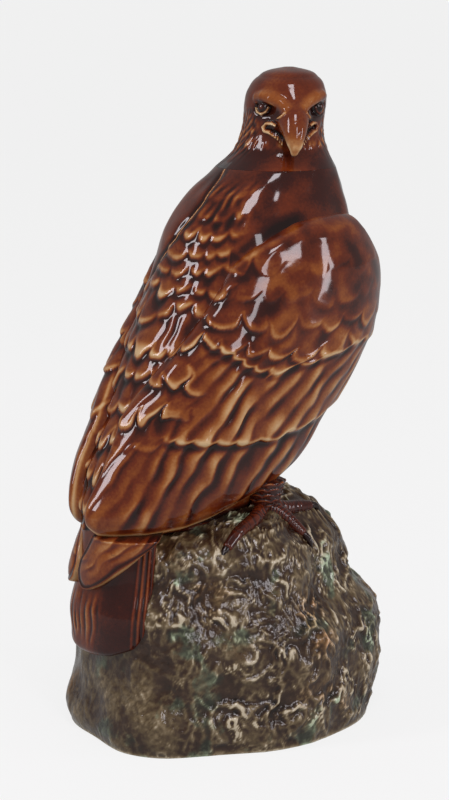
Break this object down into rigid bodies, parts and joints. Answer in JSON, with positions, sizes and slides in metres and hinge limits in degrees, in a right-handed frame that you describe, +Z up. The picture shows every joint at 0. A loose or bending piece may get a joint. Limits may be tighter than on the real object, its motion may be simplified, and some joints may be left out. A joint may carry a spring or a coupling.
{
  "type": "figural liquor decanter",
  "caption": "Glazed ceramic liquor decanter in the form of a perched eagle on a rough rock, whose head lifts off as the stopper on a tapered cork.",
  "frame": {"origin": "middle of the rock's flat underside, where the decanter stands", "axes": "+Z up; +X the way the bird's breast faces; -Y the bird's right side"},
  "size_m": [0.1411, 0.1169, 0.267],
  "materials": {
    "rock_glaze": "glossy olive and brown glaze over a rough modelled surface",
    "feather_glaze": "glossy amber brown glaze, dark in the hollows and golden on the ridges",
    "beak_glaze": "glossy tan glaze",
    "cork": "natural bark cork"
  },
  "bodies": {
    "bottle": {"rock_base": "rock_glaze", "trunk": "feather_glaze", "right_wing": "feather_glaze", "left_wing": "feather_glaze", "right_wing_tip": "feather_glaze", "left_wing_tip": "feather_glaze", "tail": "feather_glaze", "right_foot": "beak_glaze", "left_foot": "beak_glaze"},
    "cork": {"cork": "cork"},
    "head": {"head": "feather_glaze"}
  },
  "joints": [
    {"name": "stopper_lift", "type": "slide", "parent": "bottle", "child": "cork", "axis": [0, 0, 1], "range_m": [0, 0.06]},
    {"name": "head_turn", "type": "hinge", "parent": "cork", "child": "head", "pos_m": [0.028, 0, 0.227], "axis": [0, 0, 1], "continuous": true}
  ]
}
